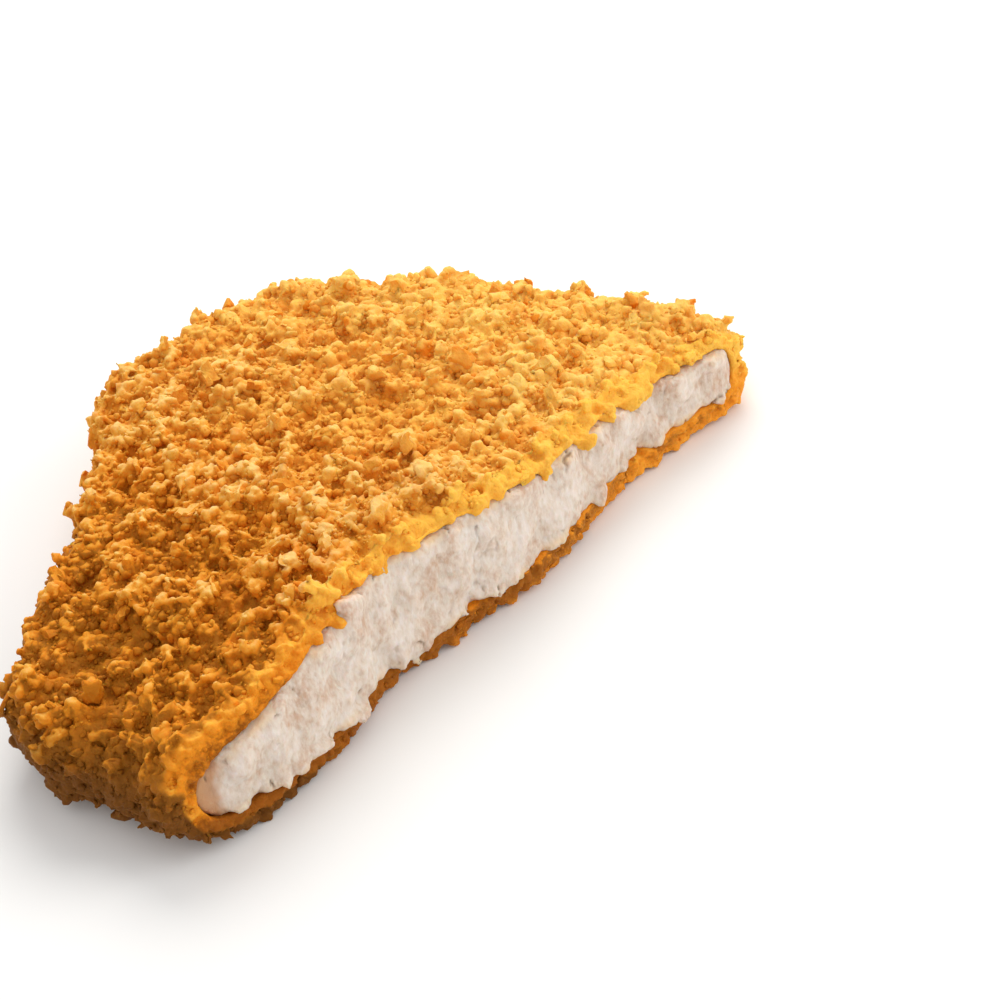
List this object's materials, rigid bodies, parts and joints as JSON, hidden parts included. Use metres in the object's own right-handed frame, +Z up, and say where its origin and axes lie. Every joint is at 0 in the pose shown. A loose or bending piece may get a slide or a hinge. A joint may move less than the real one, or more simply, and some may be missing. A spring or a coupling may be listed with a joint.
{
  "type": "schnitzel",
  "caption": "Half of a breaded schnitzel, cut straight across, with a craggy crumb coating wrapped round white meat that shows at the cut.",
  "frame": {"origin": "under the middle of the half, on the surface that it lies on", "axes": "+Z up out of the browned top, +X along the cut, -Y the way the cut face looks"},
  "size_m": [0.097, 0.0626, 0.02],
  "materials": {
    "fried_crumb": "golden fried bread crumb, rough and dry with a slight fat sheen",
    "cooked_meat": "cooked white poultry meat, torn fibres, moist and slightly translucent"
  },
  "bodies": {
    "root": {"crumb_coating": "fried_crumb", "meat": "cooked_meat"}
  },
  "joints": []
}
